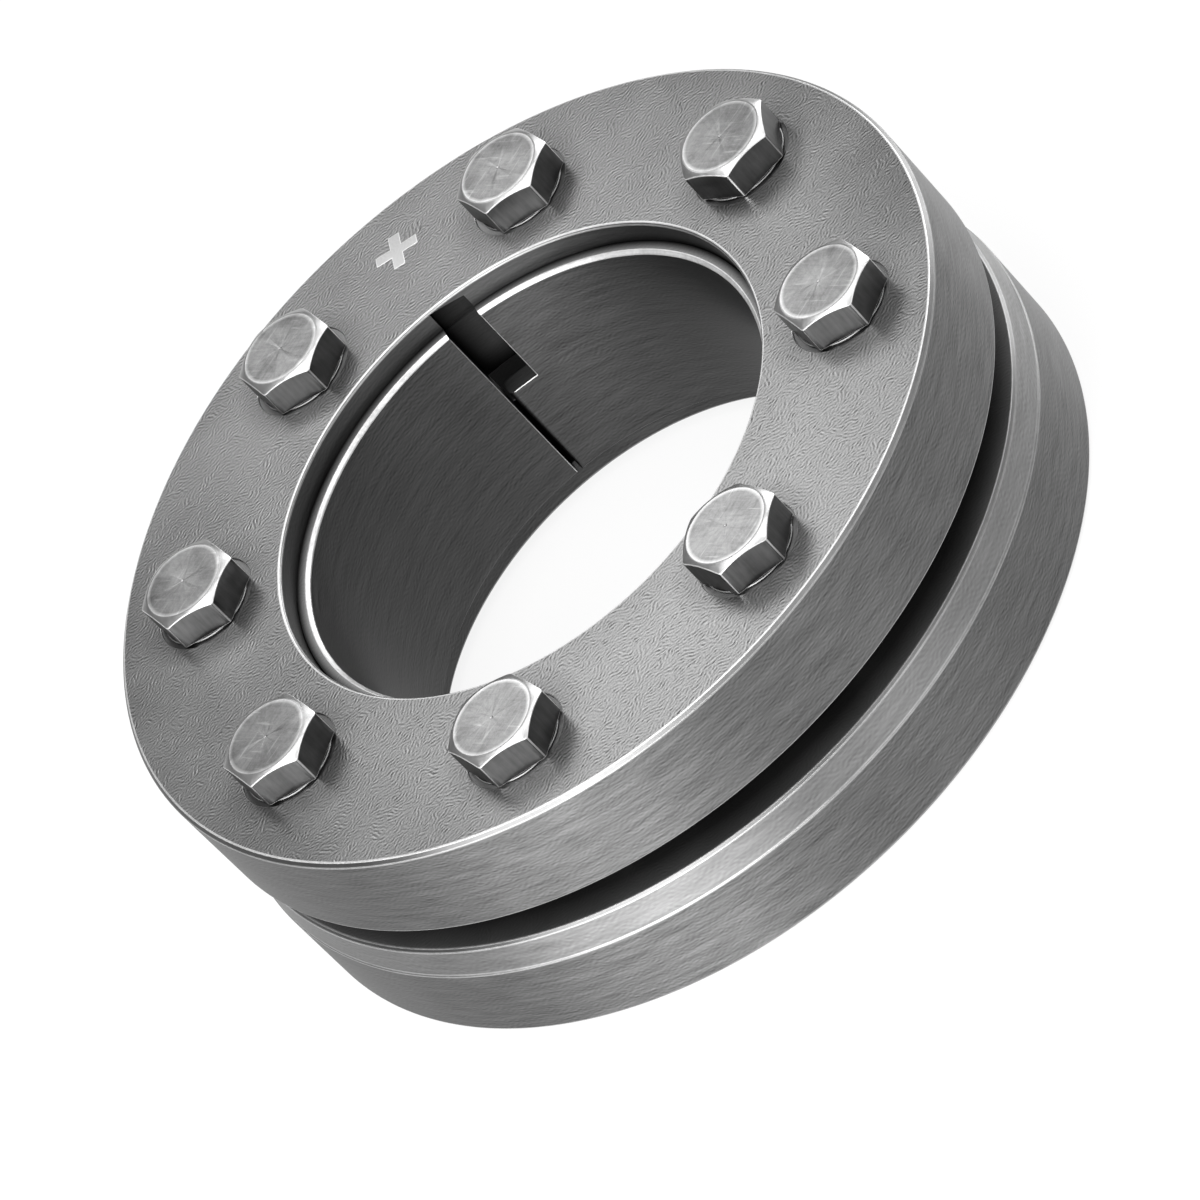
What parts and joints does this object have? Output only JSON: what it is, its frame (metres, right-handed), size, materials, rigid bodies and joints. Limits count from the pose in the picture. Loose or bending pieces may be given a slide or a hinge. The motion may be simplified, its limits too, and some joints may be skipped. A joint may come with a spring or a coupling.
{
  "type": "shaft locking element",
  "caption": "Shrink disc that locks a hollow hub on a shaft: bolts draw two thrust rings together over a slit, double-tapered inner ring.",
  "frame": {"origin": "centre of the rear thrust ring's back face, on which the part stands", "axes": "+Z along the shaft axis towards the bolt heads, +Y through the slit of the inner ring, +X a quarter turn clockwise from the slit seen from the bolt heads"},
  "size_m": [0.1, 0.1, 0.0344],
  "materials": {
    "ring_steel": "fine-turned and lightly textured steel, satin",
    "inner_steel": "turned steel, dull",
    "bolt_steel": "bright forged steel, satin"
  },
  "bodies": {
    "rear_ring": {"rear_thrust_ring": "ring_steel"},
    "front_ring": {"front_thrust_ring": "ring_steel"},
    "slit_ring": {"inner_ring": "inner_steel"},
    "bolt_1": {"bolt_1": "bolt_steel"},
    "bolt_2": {"bolt_2": "bolt_steel"},
    "bolt_3": {"bolt_3": "bolt_steel"},
    "bolt_4": {"bolt_4": "bolt_steel"},
    "bolt_5": {"bolt_5": "bolt_steel"},
    "bolt_6": {"bolt_6": "bolt_steel"},
    "bolt_7": {"bolt_7": "bolt_steel"},
    "bolt_8": {"bolt_8": "bolt_steel"}
  },
  "joints": [
    {"name": "bolt_1_turn", "type": "hinge", "parent": "front_ring", "child": "bolt_1", "pos_m": [0.03612, 0.01496, 0.03015], "axis": [0, 0, 1], "range_deg": [-432, 2160]},
    {"name": "bolt_2_turn", "type": "hinge", "parent": "front_ring", "child": "bolt_2", "pos_m": [0.01496, 0.03612, 0.03015], "axis": [0, 0, 1], "range_deg": [-432, 2160]},
    {"name": "bolt_3_turn", "type": "hinge", "parent": "front_ring", "child": "bolt_3", "pos_m": [-0.01496, 0.03612, 0.03015], "axis": [0, 0, 1], "range_deg": [-432, 2160]},
    {"name": "bolt_4_turn", "type": "hinge", "parent": "front_ring", "child": "bolt_4", "pos_m": [-0.03612, 0.01496, 0.03015], "axis": [0, 0, 1], "range_deg": [-432, 2160]},
    {"name": "bolt_5_turn", "type": "hinge", "parent": "front_ring", "child": "bolt_5", "pos_m": [-0.03612, -0.01496, 0.03015], "axis": [0, 0, 1], "range_deg": [-432, 2160]},
    {"name": "bolt_6_turn", "type": "hinge", "parent": "front_ring", "child": "bolt_6", "pos_m": [-0.01496, -0.03612, 0.03015], "axis": [0, 0, 1], "range_deg": [-432, 2160]},
    {"name": "bolt_7_turn", "type": "hinge", "parent": "front_ring", "child": "bolt_7", "pos_m": [0.01496, -0.03612, 0.03015], "axis": [0, 0, 1], "range_deg": [-432, 2160]},
    {"name": "bolt_8_turn", "type": "hinge", "parent": "front_ring", "child": "bolt_8", "pos_m": [0.03612, -0.01496, 0.03015], "axis": [0, 0, 1], "range_deg": [-432, 2160]},
    {"name": "front_ring_travel", "type": "slide", "parent": "rear_ring", "child": "front_ring", "axis": [0, 0, 1], "range_m": [-0.0012, 0.006]},
    {"name": "slit_ring_travel", "type": "slide", "parent": "rear_ring", "child": "slit_ring", "axis": [0, 0, 1], "range_m": [-0.0006, 0.003]}
  ],
  "couplings": [
    {"joint": "bolt_1_turn", "follows": "front_ring_travel", "rad_per_m": 6283.2},
    {"joint": "bolt_2_turn", "follows": "front_ring_travel", "rad_per_m": 6283.2},
    {"joint": "bolt_3_turn", "follows": "front_ring_travel", "rad_per_m": 6283.2},
    {"joint": "bolt_4_turn", "follows": "front_ring_travel", "rad_per_m": 6283.2},
    {"joint": "bolt_5_turn", "follows": "front_ring_travel", "rad_per_m": 6283.2},
    {"joint": "bolt_6_turn", "follows": "front_ring_travel", "rad_per_m": 6283.2},
    {"joint": "bolt_7_turn", "follows": "front_ring_travel", "rad_per_m": 6283.2},
    {"joint": "bolt_8_turn", "follows": "front_ring_travel", "rad_per_m": 6283.2},
    {"joint": "slit_ring_travel", "follows": "front_ring_travel", "ratio": 0.5}
  ]
}
